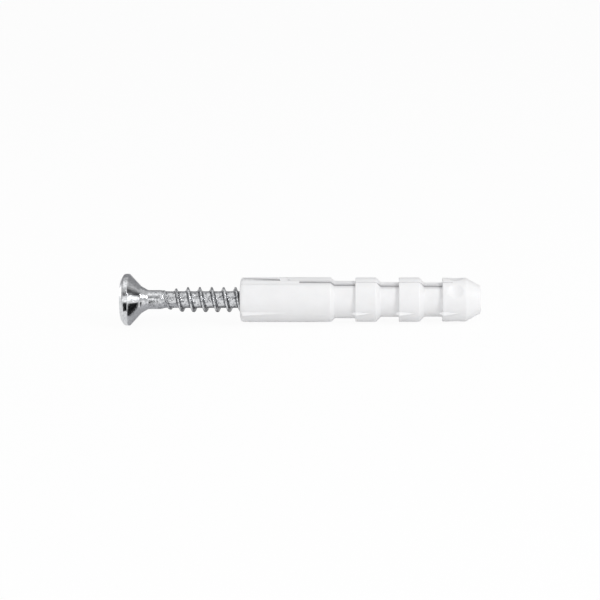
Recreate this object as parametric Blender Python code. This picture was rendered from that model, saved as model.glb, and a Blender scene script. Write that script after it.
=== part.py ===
"""Wall plug with its countersunk screw started in the mouth, lying on its side.

Both pieces are modelled along +X, with X = 0 at the plug's mouth, the screw's head towards -X
and the plug's nose towards +X. An empty then lays the pair down: the rim of the head and the
tip block of the plug touch the ground together, and the middle of the ground print is the origin.
Round shapes have a flat facing straight down, so that the pair rests on those flats.
All sizes are in metres. Angles round the axis start at straight up and turn towards the viewer's
side, which is -Y.
"""
import math
from itertools import product

import bmesh
import bpy
from mathutils import Matrix, Vector

# The screw: 4.5 x 40 countersunk wood screw, bright zinc plated
SCREW_LENGTH = 0.0400
HEAD_DIAMETER = 0.0087
HEAD_BEVEL_LENGTH = 0.0005
HEAD_BEVEL_DEPTH = 0.00076
HEAD_LAND = 0.00088
HEAD_CONE_ANGLE = math.radians(94.0)
HEAD_NECK_DIAMETER = 0.0043
HEAD_NECK_CURVE = 0.0017
SHANK_DIAMETER = 0.0032
SHANK_LENGTH = 0.0070
CORE_DIAMETER = 0.0027
CORE_SHOULDER = 0.0005
POINT_LENGTH = 0.0050
POINT_DIAMETER = 0.0003

# Its coarse single-start thread
THREAD_DIAMETER = 0.0042
THREAD_PITCH = 0.0020
THREAD_ANGLE = math.radians(50.0)
THREAD_CREST = 0.0002
THREAD_RUN_IN_TURNS = 2.0
THREAD_RUN_OUT = 0.0006
THREAD_START_ANGLE = math.radians(225.0)
THREAD_SINK = 0.00015

# The cross recess in the head
RECESS_DIAMETER = 0.0046
RECESS_DEPTH = 0.0026
RECESS_WING = 0.00086
RECESS_ROOT = 0.00125
RECESS_FLOOR_SHARE = 0.42
RECESS_POINT = 0.0005
RECESS_POINT_SHARE = 0.10

# How far the head stands out from the plug's mouth, and the running gap round the thread
SCREW_STANDOFF = 0.0201
THREAD_CLEARANCE = 0.00035

# The plug: 8 x 40, moulded in white nylon, from the mouth to the nose
SLEEVE_LENGTH = 0.0151
SLEEVE_DIAMETER = 0.0075
SLEEVE_END_DIAMETER = 0.00743
SLEEVE_CHAMFER = 0.00064
MOUTH_ROUND = 0.0007
NECK_1_LENGTH = 0.00347
NECK_1_DIAMETER = 0.00622
NECK_2_LENGTH = 0.0030
NECK_2_DIAMETER = 0.00577
NECK_3_LENGTH = 0.0030
NECK_3_DIAMETER = 0.0057
BLOCK_LENGTH = 0.00342
BLOCK_DIAMETER = 0.0074
BLOCK_TAPER = 0.00081
BLOCK_EDGE = 0.00012
TIP_LENGTH = 0.0039
TIP_DIAMETER = 0.0073
NOSE_LENGTH = 0.00243
NOSE_DIAMETER = 0.0046

# The bore behind the sleeve, which the screw forces apart, and the funnel that leads to it
PILOT_BORE = 0.0025
FUNNEL_MARGIN = 0.0015

# The slot that lets the two halves spread: open along sleeve and necks, nearly shut in the blocks
SLOT_START = 0.0099
SLOT_WIDTH = 0.00034
SLOT_WIDTH_IN_BLOCKS = 0.00014
SLOT_END_FROM_SHOULDER = 0.0016

# The shallow round dimples either side of the slot's end, which thin the tip where it hinges
DIMPLE_FROM_SHOULDER = 0.00217
DIMPLE_RADIUS = 0.0013
DIMPLE_DEPTH = 0.00036
DIMPLE_ANGLE = math.radians(28.0)

# Fins that keep the plug from turning: two that lock, just beside the slot, and two square to it
LOCK_FIN_LENGTH = 0.0069
LOCK_FIN_HEIGHT = 0.00046
LOCK_FIN_END_HEIGHT = 0.00036
LOCK_FIN_OVERLAP = 0.0004
LOCK_FIN_WIDTH = 0.0009
LOCK_FIN_FROM_SLOT = math.radians(-9.5)
LOCK_POCKET_LENGTH = 0.00145
LOCK_POCKET_WIDTH = 0.0011
LOCK_POCKET_DEPTH = 0.0005
SIDE_FIN_LENGTH = 0.0075
SIDE_FIN_HEIGHT = 0.0006
FIN_WIDTH = 0.00066
FIN_SINK = 0.0004
FIN_FADE_SINK = 0.0002
BARB_HEIGHT = 0.0005
BARB_OVERHANG = 0.00055
BARB_RUN = 0.0028
BARB_POINT_WIDTH = 0.00008
BARB_POINT_DEPTH = 0.00012

# How the slot leans from straight up towards the viewer as the pair lies at rest
SLOT_LEAN = math.radians(24.0)

# Colours as linear values, and how rough each finish is
ZINC_COLOUR = (0.60, 0.61, 0.62)
ZINC_ROUGHNESS = 0.24
NYLON_COLOUR = (0.84, 0.85, 0.85)
NYLON_ROUGHNESS = 0.42

# How finely round shapes are divided
ROUND_STEPS = 28
THREAD_STEPS = 24
ARC_STEPS = 5
DIMPLE_STEPS = 20
DIMPLE_RINGS = 36
SHARP_ANGLE = math.radians(30.0)
MERGE_DISTANCE = 1e-7
CUT_MARGIN = 0.0010

# Sizes that follow from those above
HALF_STEP = math.pi / ROUND_STEPS
FLAT_SHARE = math.cos(HALF_STEP)
HEAD_RADIUS = HEAD_DIAMETER / 2
HEAD_FACE_RADIUS = HEAD_RADIUS - HEAD_BEVEL_DEPTH
LAND_END = HEAD_BEVEL_LENGTH + HEAD_LAND
INSERTED = SCREW_LENGTH - SCREW_STANDOFF
THREAD_START = SHANK_LENGTH - CORE_SHOULDER
POINT_START = SCREW_LENGTH - POINT_LENGTH
SLEEVE_BORE = THREAD_DIAMETER + 2 * THREAD_CLEARANCE
NECK_1_START = SLEEVE_LENGTH + SLEEVE_CHAMFER
BLOCK_1_START = NECK_1_START + NECK_1_LENGTH
NECK_2_START = BLOCK_1_START + BLOCK_LENGTH + BLOCK_TAPER
BLOCK_2_START = NECK_2_START + NECK_2_LENGTH
NECK_3_START = BLOCK_2_START + BLOCK_LENGTH + BLOCK_TAPER
TIP_START = NECK_3_START + NECK_3_LENGTH
NOSE_START = TIP_START + TIP_LENGTH
PLUG_LENGTH = NOSE_START + NOSE_LENGTH
SLOT_END = TIP_START + SLOT_END_FROM_SHOULDER
DIMPLE_PLACE = TIP_START + DIMPLE_FROM_SHOULDER
SLOT_ANGLES = (SLOT_LEAN, SLOT_LEAN + math.pi)
LOCK_ANGLES = (SLOT_LEAN + LOCK_FIN_FROM_SLOT, SLOT_LEAN + LOCK_FIN_FROM_SLOT + math.pi)
FIN_ANGLES = (SLOT_LEAN + math.pi / 2, SLOT_LEAN - math.pi / 2)


def clear_scene():
    """Remove every object, so that the part stands alone."""
    for obj in list(bpy.data.objects):
        bpy.data.objects.remove(obj, do_unlink=True)


def make_material(name, colour, metallic, roughness):
    """Return a Principled material of one colour."""
    material = bpy.data.materials.new(name)
    material.use_nodes = True
    shader = material.node_tree.nodes["Principled BSDF"]
    shader.inputs["Base Color"].default_value = (*colour, 1.0)
    shader.inputs["Metallic"].default_value = metallic
    shader.inputs["Roughness"].default_value = roughness
    material.diffuse_color = (*colour, 1.0)
    return material


def object_from(bm, name, parent, material=None):
    """Turn a bmesh into a named object under the parent, with its faces pointing out."""
    bmesh.ops.recalc_face_normals(bm, faces=bm.faces)
    mesh = bpy.data.meshes.new(name)
    bm.to_mesh(mesh)
    bm.free()
    obj = bpy.data.objects.new(name, mesh)
    bpy.context.scene.collection.objects.link(obj)
    obj.parent = parent
    if material is not None:
        mesh.materials.append(material)
    return obj


def turned(profile, hollow=False):
    """Return a body turned about X from a profile of (x, radius) points.

    A solid body's profile starts and ends on the axis, and a hollow body's closes on itself. The
    profile is set half a step round, so that a flat and not an edge faces straight down.
    """
    bm = bmesh.new()
    points = [bm.verts.new(around(x, radius, HALF_STEP)) for x, radius in profile]
    following = points[1:] + points[:1] if hollow else points[1:]
    edges = [bm.edges.new(pair) for pair in zip(points, following)]
    bmesh.ops.spin(bm, geom=points + edges, cent=(0, 0, 0), axis=(1, 0, 0),
                   angle=2 * math.pi, steps=ROUND_STEPS, use_merge=True)
    bmesh.ops.remove_doubles(bm, verts=bm.verts, dist=MERGE_DISTANCE)
    return bm


def arc(centre_x, centre_radius, radius, start, end):
    """Return (x, radius) points on an arc, its angles measured from +X towards +radius."""
    points = []
    for step in range(ARC_STEPS + 1):
        angle = start + (end - start) * step / ARC_STEPS
        points.append((centre_x + radius * math.cos(angle), centre_radius + radius * math.sin(angle)))
    return points


def loft(sections):
    """Return a closed body through rings of equal count, with flat ends."""
    bm = bmesh.new()
    rings = [[bm.verts.new(point) for point in section] for section in sections]
    for ring, following in zip(rings, rings[1:]):
        for index in range(len(ring)):
            after = (index + 1) % len(ring)
            bm.faces.new((ring[index], ring[after], following[after], following[index]))
    bm.faces.new(rings[0])
    bm.faces.new(rings[-1])
    return bm


def around(x, radius, angle, sideways=0.0):
    """Return the point at a radius and an angle from straight up, moved sideways along the skin."""
    outwards = Vector((0.0, -math.sin(angle), math.cos(angle)))
    along_skin = Vector((0.0, -math.cos(angle), -math.sin(angle)))
    return Vector((x, 0.0, 0.0)) + outwards * radius + along_skin * sideways


def boolean(target, cutter, operation):
    """Join or cut the target with another body, which then only guides the shape."""
    cutter.hide_render = True
    cutter.display_type = 'WIRE'
    modifier = target.modifiers.new(cutter.name, 'BOOLEAN')
    modifier.operation = operation
    modifier.solver = 'EXACT'
    modifier.object = cutter


def merged(pieces):
    """Return one bmesh that holds several separate bodies, and free them."""
    result = bmesh.new()
    for piece in pieces:
        holder = bpy.data.meshes.new("holder")
        bmesh.ops.recalc_face_normals(piece, faces=piece.faces)
        piece.to_mesh(holder)
        piece.free()
        result.from_mesh(holder)
        bpy.data.meshes.remove(holder)
    return result


def smooth(obj):
    """Shade a round piece smooth, with its true edges kept sharp."""
    obj.data.shade_smooth()
    obj.data.set_sharp_from_angle(angle=SHARP_ANGLE)


def core_radius(x):
    """Return the radius of the threaded core at a distance from the head's flat."""
    if x <= POINT_START:
        return CORE_DIAMETER / 2
    share = (SCREW_LENGTH - x) / POINT_LENGTH
    return POINT_DIAMETER / 2 + (CORE_DIAMETER - POINT_DIAMETER) / 2 * share


def screw_profile():
    """Return the turned profile: face, bevel, land, cone, curved neck, shank, core and point."""
    neck = HEAD_NECK_DIAMETER / 2
    shank = SHANK_DIAMETER / 2
    neck_x = LAND_END + (HEAD_RADIUS - neck) / math.tan(HEAD_CONE_ANGLE / 2)
    slope = math.acos(1 - (neck - shank) / HEAD_NECK_CURVE)
    curve_x = neck_x + HEAD_NECK_CURVE * math.sin(slope)
    profile = [(0.0, 0.0), (0.0, HEAD_FACE_RADIUS)]
    profile += [(HEAD_BEVEL_LENGTH, HEAD_RADIUS), (LAND_END, HEAD_RADIUS)]
    profile += arc(curve_x, shank + HEAD_NECK_CURVE, HEAD_NECK_CURVE, -math.pi / 2 - slope, -math.pi / 2)
    profile += [(SHANK_LENGTH, shank), (SHANK_LENGTH + CORE_SHOULDER, CORE_DIAMETER / 2)]
    profile += [(POINT_START, CORE_DIAMETER / 2), (SCREW_LENGTH, POINT_DIAMETER / 2), (SCREW_LENGTH, 0.0)]
    return profile


def thread_height(x):
    """Return how far the crest stands off the core: it grows over the run-in and fades at the point."""
    full = (THREAD_DIAMETER - CORE_DIAMETER) / 2
    run_in = (x - THREAD_START) / (THREAD_RUN_IN_TURNS * THREAD_PITCH)
    run_out = (SCREW_LENGTH - THREAD_RUN_OUT - x) / POINT_LENGTH
    return full * max(0.0, min(1.0, run_in, run_out))


def thread_ridge():
    """Return the ridge, swept along a right-hand helix with its root sunk in the core.

    A section is a trapezium in the plane of the axis: two root corners inside the core and two
    crest corners, whose distance from the root follows the thread's height. The sections lie half
    a step round, so that none meets an edge of the turned body.
    """
    length = SCREW_LENGTH - THREAD_RUN_OUT - THREAD_START
    stations = int(round(length / THREAD_PITCH * THREAD_STEPS))
    sections = []
    for station in range(stations + 1):
        x = THREAD_START + length * station / stations
        turn = THREAD_START_ANGLE + 2 * math.pi * (station + 0.5) / THREAD_STEPS
        height = thread_height(x)
        root = core_radius(x) - min(THREAD_SINK, core_radius(x) / 2)
        crest = core_radius(x) + height
        half_crest = THREAD_CREST / 2
        half_root = half_crest + (crest - root) * math.tan(THREAD_ANGLE / 2)
        corners = ((-half_root, root), (-half_crest, crest), (half_crest, crest), (half_root, root))
        sections.append([around(x + shift, radius, turn) for shift, radius in corners])
    return loft(sections)


def cross_section(x, scale):
    """Return the outline of the cross recess at a depth, four wings with flared roots.

    The wings' reach follows the scale, and their width and the roots follow it half as fast.
    """
    half_scale = (1 + scale) / 2
    reach = RECESS_DIAMETER / 2 * scale
    wing = RECESS_WING / 2 * half_scale
    root = RECESS_ROOT / 2 * half_scale
    points = []
    for quarter in range(4):
        turn = Matrix.Rotation(math.pi / 4 - quarter * math.pi / 2, 3, 'X')
        for y, z in ((-wing, reach), (wing, reach), (root, root)):
            points.append(turn @ Vector((x, y, z)))
    return points


def recess_cutter():
    """Return the body that cuts the recess: a tapering cross that ends in a short point."""
    mouth = -CUT_MARGIN
    slope = (1 - RECESS_FLOOR_SHARE) / (RECESS_DEPTH - RECESS_POINT)
    floor = RECESS_DEPTH - RECESS_POINT
    sections = [cross_section(mouth, 1 - slope * mouth), cross_section(floor, RECESS_FLOOR_SHARE)]
    sections.append(cross_section(RECESS_DEPTH, RECESS_POINT_SHARE))
    return loft(sections)


def build_screw(parent, material):
    """Make the screw, its origin in the middle of the head's flat, on the axis it slides along."""
    place = Matrix.Translation((-SCREW_STANDOFF, 0, 0))
    screw = object_from(turned(screw_profile()), "screw", parent, material)
    ridge = object_from(thread_ridge(), "thread_ridge_guide", parent)
    recess = object_from(recess_cutter(), "cross_recess_guide", parent)
    for obj in (screw, ridge, recess):
        obj.matrix_local = place
    boolean(screw, ridge, 'UNION')
    boolean(screw, recess, 'DIFFERENCE')
    smooth(screw)
    return screw


def plug_outside():
    """Return the plug's outside from mouth to nose: sleeve, necks, blocks, tip block and nose."""
    sleeve = SLEEVE_DIAMETER / 2
    profile = arc(MOUTH_ROUND, sleeve - MOUTH_ROUND, MOUTH_ROUND, math.pi, math.pi / 2)
    profile += [(SLEEVE_LENGTH, SLEEVE_END_DIAMETER / 2)]
    block = BLOCK_DIAMETER / 2
    necks = ((NECK_1_START, NECK_1_DIAMETER, BLOCK_1_START), (NECK_2_START, NECK_2_DIAMETER, BLOCK_2_START))
    for neck_start, neck_diameter, block_start in necks:
        profile += [(neck_start, neck_diameter / 2), (block_start, neck_diameter / 2)]
        profile += [(block_start, block - BLOCK_EDGE), (block_start + BLOCK_EDGE, block)]
        profile += [(block_start + BLOCK_LENGTH, block)]
    profile += [(NECK_3_START, NECK_3_DIAMETER / 2), (TIP_START, NECK_3_DIAMETER / 2)]
    profile += [(TIP_START, TIP_DIAMETER / 2 - BLOCK_EDGE), (TIP_START + BLOCK_EDGE, TIP_DIAMETER / 2)]
    profile += [(NOSE_START, TIP_DIAMETER / 2), (PLUG_LENGTH, NOSE_DIAMETER / 2)]
    return profile


def plug_inside():
    """Return the plug's inside from nose to mouth: pilot bore, funnel and clear bore for the thread."""
    pilot = PILOT_BORE / 2
    clear = SLEEVE_BORE / 2
    profile = [(PLUG_LENGTH, pilot), (INSERTED + FUNNEL_MARGIN, pilot)]
    profile += [(INSERTED - POINT_LENGTH, clear), (0.0, clear)]
    return profile


def slot_cutter():
    """Return the thin plate that parts the two halves, stepped down in width through the blocks."""
    reach = SLEEVE_DIAMETER / 2 + CUT_MARGIN
    wide = SLOT_WIDTH / 2
    narrow = SLOT_WIDTH_IN_BLOCKS / 2
    stations = ((SLOT_START, wide), (BLOCK_1_START, wide), (BLOCK_1_START, narrow),
                (BLOCK_1_START + BLOCK_LENGTH, narrow), (NECK_2_START, wide),
                (BLOCK_2_START, wide), (BLOCK_2_START, narrow),
                (BLOCK_2_START + BLOCK_LENGTH, narrow), (NECK_3_START, wide),
                (TIP_START, wide), (TIP_START, narrow), (SLOT_END, narrow))
    sections = []
    for x, half in stations:
        corners = ((reach, -half), (reach, half), (-reach, half), (-reach, -half))
        sections.append([around(x, radius, SLOT_LEAN, sideways) for radius, sideways in corners])
    return loft(sections)


def dimple_cutter(angle):
    """Return the ball that cuts one dimple of the given radius and depth, seated at an angle."""
    ball = (DIMPLE_RADIUS ** 2 + DIMPLE_DEPTH ** 2) / (2 * DIMPLE_DEPTH)
    centre = around(DIMPLE_PLACE, TIP_DIAMETER / 2 - DIMPLE_DEPTH + ball, angle)
    bm = bmesh.new()
    bmesh.ops.create_uvsphere(bm, u_segments=DIMPLE_STEPS, v_segments=DIMPLE_RINGS, radius=ball)
    facing = Matrix.Rotation(angle, 4, 'X')
    bmesh.ops.transform(bm, matrix=Matrix.Translation(centre) @ facing, verts=bm.verts)
    return bm


def pocket_cutter(angle):
    """Return the block with one round end that cuts the pocket behind a locking fin."""
    floor = SLEEVE_DIAMETER / 2 - LOCK_POCKET_DEPTH
    top = SLEEVE_DIAMETER / 2 + CUT_MARGIN
    half = LOCK_POCKET_WIDTH / 2
    round_x = LOCK_FIN_LENGTH + LOCK_POCKET_LENGTH - half
    outline = [(LOCK_FIN_LENGTH, half), (LOCK_FIN_LENGTH, -half)]
    for step in range(2 * ARC_STEPS + 1):
        turn = math.pi * (step / (2 * ARC_STEPS) - 0.5)
        outline.append((round_x + half * math.cos(turn), half * math.sin(turn)))
    return loft([[around(x, level, angle, sideways) for x, sideways in outline] for level in (floor, top)])


def fin(stations, angle):
    """Return a fin of triangular section through stations of (x, root radius, top radius, width)."""
    sections = []
    for x, root, top, width in stations:
        corners = ((root, -width / 2), (top, 0.0), (root, width / 2))
        sections.append([around(x, radius, angle, sideways) for radius, sideways in corners])
    return loft(sections)


def sleeve_fins():
    """Return the four fins on the sleeve: two that lock behind the mouth and two that fade out."""
    skin = SLEEVE_DIAMETER / 2
    root = skin - FIN_SINK
    start = MOUTH_ROUND / 2
    lock = ((start, root, skin + LOCK_FIN_HEIGHT, LOCK_FIN_WIDTH),
            (LOCK_FIN_LENGTH + LOCK_FIN_OVERLAP, root, skin + LOCK_FIN_END_HEIGHT, LOCK_FIN_WIDTH))
    side = ((start, root, skin + SIDE_FIN_HEIGHT, FIN_WIDTH),
            (SIDE_FIN_LENGTH, root, skin - FIN_FADE_SINK, FIN_WIDTH))
    return [fin(lock, angle) for angle in LOCK_ANGLES] + [fin(side, angle) for angle in FIN_ANGLES]


def barbs():
    """Return the pointed fins on the blocks and the tip, each with its point over the neck before it."""
    bodies = []
    blocks = ((BLOCK_1_START, BLOCK_DIAMETER), (BLOCK_2_START, BLOCK_DIAMETER), (TIP_START, TIP_DIAMETER))
    for shoulder, diameter in blocks:
        skin = diameter / 2
        root = skin - FIN_SINK
        stations = ((shoulder - BARB_OVERHANG, skin - BARB_POINT_DEPTH, skin, BARB_POINT_WIDTH),
                    (shoulder + BLOCK_EDGE, root, skin + BARB_HEIGHT, FIN_WIDTH),
                    (shoulder + BARB_RUN, root, skin - FIN_FADE_SINK, FIN_WIDTH))
        bodies += [fin(stations, angle) for angle in FIN_ANGLES]
    return bodies


def build_plug(parent, material):
    """Make the plug, its origin in the middle of the mouth."""
    plug = object_from(turned(plug_outside() + plug_inside(), hollow=True), "wall_plug", parent, material)
    fins = object_from(merged(sleeve_fins() + barbs()), "fins_guide", parent)
    slot = object_from(slot_cutter(), "slot_guide", parent)
    pockets = object_from(merged([pocket_cutter(angle) for angle in LOCK_ANGLES]), "pockets_guide", parent)
    boolean(plug, fins, 'UNION')
    boolean(plug, pockets, 'DIFFERENCE')
    boolean(plug, slot, 'DIFFERENCE')
    for number, (side, lean) in enumerate(product(SLOT_ANGLES, (-DIMPLE_ANGLE, DIMPLE_ANGLE)), start=1):
        dimple = object_from(dimple_cutter(side + lean), f"dimple_guide_{number}", parent)
        boolean(plug, dimple, 'DIFFERENCE')
    smooth(plug)
    return plug


def lay_down():
    """Return the empty that lays the pair on the ground.

    The land of the head and the end of the tip block touch the ground together, each with its
    flat, which tilts the axis, and the box round the pair is centred over the origin.
    """
    head_x = LAND_END - SCREW_STANDOFF
    head_flat = HEAD_RADIUS * FLAT_SHARE
    face_flat = HEAD_FACE_RADIUS * FLAT_SHARE
    tip_flat = TIP_DIAMETER / 2 * FLAT_SHARE
    nose_flat = NOSE_DIAMETER / 2 * FLAT_SHARE
    tilt = math.atan((head_flat - tip_flat) / (NOSE_START - head_x))
    lowest_x = -SCREW_STANDOFF * math.cos(tilt) - face_flat * math.sin(tilt)
    highest_x = PLUG_LENGTH * math.cos(tilt) + nose_flat * math.sin(tilt)
    height = head_x * math.sin(tilt) + head_flat * math.cos(tilt)
    rest = bpy.data.objects.new("rest", None)
    bpy.context.scene.collection.objects.link(rest)
    rest.location = (-(lowest_x + highest_x) / 2, 0.0, height)
    rest.rotation_euler = (0.0, tilt, 0.0)
    return rest


def main():
    """Build the two pieces and lay them down."""
    clear_scene()
    rest = lay_down()
    steel = make_material("zinc_plated_steel", ZINC_COLOUR, 1.0, ZINC_ROUGHNESS)
    nylon = make_material("white_nylon", NYLON_COLOUR, 0.0, NYLON_ROUGHNESS)
    build_screw(rest, steel)
    build_plug(rest, nylon)
    bpy.context.view_layer.update()


main()
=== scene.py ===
"""Looks of a white nylon wall plug with a zinc-plated wood screw started in its mouth.

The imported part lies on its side: the rim of the screw's head and the tip block of the plug rest on
the floor. Both pieces are drawn again here as finer surfaces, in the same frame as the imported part.
Shapes are worked out in millimetres along the pair's own axis: x is 0 at the plug's mouth, the
screw's head is at negative x and the plug's nose at positive x. Angles round the axis start at
straight up and turn towards the camera's side, as they do in the part's own source.
"""
import logging
import math
from dataclasses import dataclass, field
from enum import Enum

import bpy
import numpy as np
from bpy.types import ID, Material, NodeSocket as Socket, Object, World
from mathutils import Matrix, Vector

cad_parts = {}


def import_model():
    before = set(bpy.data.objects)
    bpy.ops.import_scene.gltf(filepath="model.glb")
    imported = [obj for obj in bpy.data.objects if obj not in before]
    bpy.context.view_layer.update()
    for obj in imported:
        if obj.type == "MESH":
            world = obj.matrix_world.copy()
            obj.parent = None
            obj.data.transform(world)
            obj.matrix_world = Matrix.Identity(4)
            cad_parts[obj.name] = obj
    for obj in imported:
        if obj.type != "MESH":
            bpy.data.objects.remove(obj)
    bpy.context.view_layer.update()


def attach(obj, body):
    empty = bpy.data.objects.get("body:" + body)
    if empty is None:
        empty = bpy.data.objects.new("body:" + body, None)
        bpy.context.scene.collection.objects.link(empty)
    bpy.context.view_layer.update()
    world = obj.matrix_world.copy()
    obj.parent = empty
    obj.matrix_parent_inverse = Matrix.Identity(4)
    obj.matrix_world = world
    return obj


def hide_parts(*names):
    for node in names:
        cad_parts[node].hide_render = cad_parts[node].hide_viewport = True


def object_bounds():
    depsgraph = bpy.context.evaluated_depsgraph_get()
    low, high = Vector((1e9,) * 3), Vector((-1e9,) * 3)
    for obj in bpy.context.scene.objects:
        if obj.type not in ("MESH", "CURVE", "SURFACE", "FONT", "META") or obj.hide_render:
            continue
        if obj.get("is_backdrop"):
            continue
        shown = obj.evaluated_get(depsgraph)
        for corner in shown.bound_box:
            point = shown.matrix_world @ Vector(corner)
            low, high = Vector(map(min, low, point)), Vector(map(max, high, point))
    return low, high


LOG = logging.getLogger("wall_plug_with_screw")
MM = 0.001
IMAGE_WIDTH = 600
SENSOR_WIDTH = 36.0
# Name of the point attribute that holds the painted shade, which darkens the colour in slots, creases and
# on the thread's flanks
PAINTED_SHADE_ATTRIBUTE = "gap"

Array = np.ndarray
Pair = tuple[float, float]
Place = tuple[float, float, float]
Colour = tuple[float, float, float, float]
Capped = tuple[Array, tuple[Array, ...]]


def srgb(code: str) -> Colour:
    """Turn an sRGB hex colour into linear light.

    Args:
        code: The colour as #RRGGBB.

    Returns:
        Red, green, blue and alpha. Each channel c becomes c / 12.92 below 0.04045, and
        ((c + 0.055) / 1.055) to the power 2.4 above.
    """
    channels = np.array([int(code[place:place + 2], 16) / 255 for place in (1, 3, 5)])
    linear = np.where(channels <= 0.04045, channels / 12.92, ((channels + 0.055) / 1.055) ** 2.4)
    return (*(float(value) for value in linear), 1.0)


def link_object(name: str, data: ID) -> Object:
    """Make an object and link it to the scene.

    Args:
        name: The object's name.
        data: Its mesh, lamp or camera.

    Returns:
        The new object, at the origin.
    """
    obj = bpy.data.objects.new(name, data)
    bpy.context.scene.collection.objects.link(obj)
    return obj


def smooth_step(start: float, end: float, value: Array) -> Array:
    """Rise softly from 0 at start to 1 at end, which may be the smaller one, for a fall.

    Returns:
        3 t^2 - 2 t^3, where t is the share of the way from start to end, held between 0 and 1.
    """
    share = np.clip((value - start) / (end - start), 0.0, 1.0)
    return share * share * (3.0 - 2.0 * share)


def soft_max(first: Array, second: Array, width: float) -> Array:
    """Take the larger of two surfaces, with a fillet where they meet.

    Args:
        first: Heights of one surface.
        second: Heights of the other.
        width: How far apart the two still blend, which sets the fillet.

    Returns:
        first h + second (1 - h) + width h (1 - h), where h is 1/2 + (first - second) / (2 width),
        held between 0 and 1.
    """
    share = np.clip(0.5 + 0.5 * (first - second) / width, 0.0, 1.0)
    return first * share + second * (1.0 - share) + width * share * (1.0 - share)


@dataclass(frozen=True)
class LyingPose:
    """How the pair lies: its axis tilts nose down, and its print is centred on the origin.

    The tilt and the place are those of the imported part, in degrees and millimetres.
    """

    tilt_deg: float = 0.70799134
    mouth_x: float = -9.94132057
    mouth_z: float = 4.09100507

    def matrix(self) -> Matrix:
        """Return the move from the pair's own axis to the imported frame, in metres."""
        place = Matrix.Translation((self.mouth_x * MM, 0.0, self.mouth_z * MM))
        return place @ Matrix.Rotation(math.radians(self.tilt_deg), 4, 'Y')

    def place(self, points: Array) -> Array:
        """Lay points down on the floor: from millimetres on the pair's axis to the frame's metres.

        Returns:
            The tilt times each point, plus the mouth's place.
        """
        matrix = np.array(self.matrix())
        return points * MM @ matrix[:3, :3].T + matrix[:3, 3]


def around(x: Array, radius: Array, angle: Array) -> Array:
    """Set points round the axis.

    Args:
        x: Places along the axis.
        radius: Distances from the axis.
        angle: Angles in radians from straight up towards the camera's side.

    Returns:
        Points (x, -radius sin angle, radius cos angle), stacked on a last axis of three.
    """
    x, radius, angle = np.broadcast_arrays(x, radius, angle)
    return np.stack([x, -radius * np.sin(angle), radius * np.cos(angle)], axis=-1)


def grid_faces(rows: int, columns: int, close_rows: bool) -> Array:
    """List the quads of a grid of closed rings.

    Args:
        rows: Number of rings.
        columns: Number of points in a ring.
        close_rows: Whether the last ring also joins the first.

    Returns:
        Point numbers, shape (faces, 4): two neighbours of a ring and the same two of the next.
    """
    ring = np.arange(rows if close_rows else rows - 1)[:, None]
    point = np.arange(columns)[None, :]
    after = (point + 1) % columns
    following = (ring + 1) % rows
    quads = [ring * columns + point, following * columns + point,
             following * columns + after, ring * columns + after]
    return np.stack(np.broadcast_arrays(*quads), axis=-1).reshape(-1, 4)


@dataclass
class Surface:
    """A closed surface made of grids, gathered as points, their painted shade and faces before it becomes
    a mesh.
    """

    points: list[Array] = field(default_factory=list)
    painted_shades: list[Array] = field(default_factory=list)
    quads: list[Array] = field(default_factory=list)
    triangles: list[Array] = field(default_factory=list)
    count: int = 0

    def add(self, grid: Array, poles: tuple[Array, ...] = (), gap: Array | None = None) -> None:
        """Add a grid whose columns run round its rings.

        Args:
            grid: Points, shape (rings, points in a ring, 3).
            poles: The two points that close its ends. Without them its last ring joins its first.
            gap: How much each point's colour is darkened by painted shade, 0 to 1, or none: in narrow
                slots and creases and on a thread's flanks.
        """
        rows, columns = grid.shape[:2]
        gap = np.zeros((rows, columns)) if gap is None else gap
        self.points += [grid.reshape(-1, 3), np.reshape(poles, (-1, 3))]
        self.painted_shades += [gap.ravel(), np.zeros(len(poles))]
        self.quads.append(grid_faces(rows, columns, not poles) + self.count)
        if poles:
            point = np.arange(columns) + self.count
            after = np.roll(point, -1)
            last = (rows - 1) * columns
            pole = np.full(columns, self.count + rows * columns)
            self.triangles.append(np.stack([after, pole, point], axis=-1))
            self.triangles.append(np.stack([point + last, pole + 1, after + last], axis=-1))
        self.count += rows * columns + len(poles)

    def mesh_object(self, name: str, pose: LyingPose, sharp_deg: float) -> Object:
        """Make the Blender object, at the origin, with its place in its mesh and its faces outwards.

        Args:
            name: The object's name.
            pose: How the pair lies.
            sharp_deg: The angle in degrees past which an edge stays sharp.

        Returns:
            The object, linked to the scene.
        """
        points = pose.place(np.concatenate(self.points))
        faces = [row.tolist() for block in self.quads + self.triangles for row in block]
        mesh = bpy.data.meshes.new(name)
        mesh.from_pydata(points.tolist(), [], faces)
        # The painted shade goes on the points, for the materials to darken their colour by
        attribute = mesh.attributes.new(PAINTED_SHADE_ATTRIBUTE, 'FLOAT', 'POINT')
        attribute.data.foreach_set("value", np.concatenate(self.painted_shades).astype(np.float32))
        mesh.shade_smooth()
        mesh.set_sharp_from_angle(angle=math.radians(sharp_deg))
        mesh.validate()
        return link_object(name, mesh)


@dataclass(frozen=True)
class Corner:
    """One corner of a turned outline, before it is rounded.

    x and radius place it, rounding is the radius it is softened by, and step is the longest stretch
    between rings on the way to the next corner. slot_floor and slot_half give the slot there: the
    radius of its floor, which is the corner's own radius where there is no slot, and half its width.
    """

    x: float
    radius: float
    rounding: float = 0.0
    step: float = 0.5
    slot_floor: float | None = None
    slot_half: float = 0.08

    def values(self) -> Array:
        """Return x, radius, slot floor and half slot width as one row."""
        floor = self.radius if self.slot_floor is None else self.slot_floor
        return np.array([self.x, self.radius, floor, self.slot_half])


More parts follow.
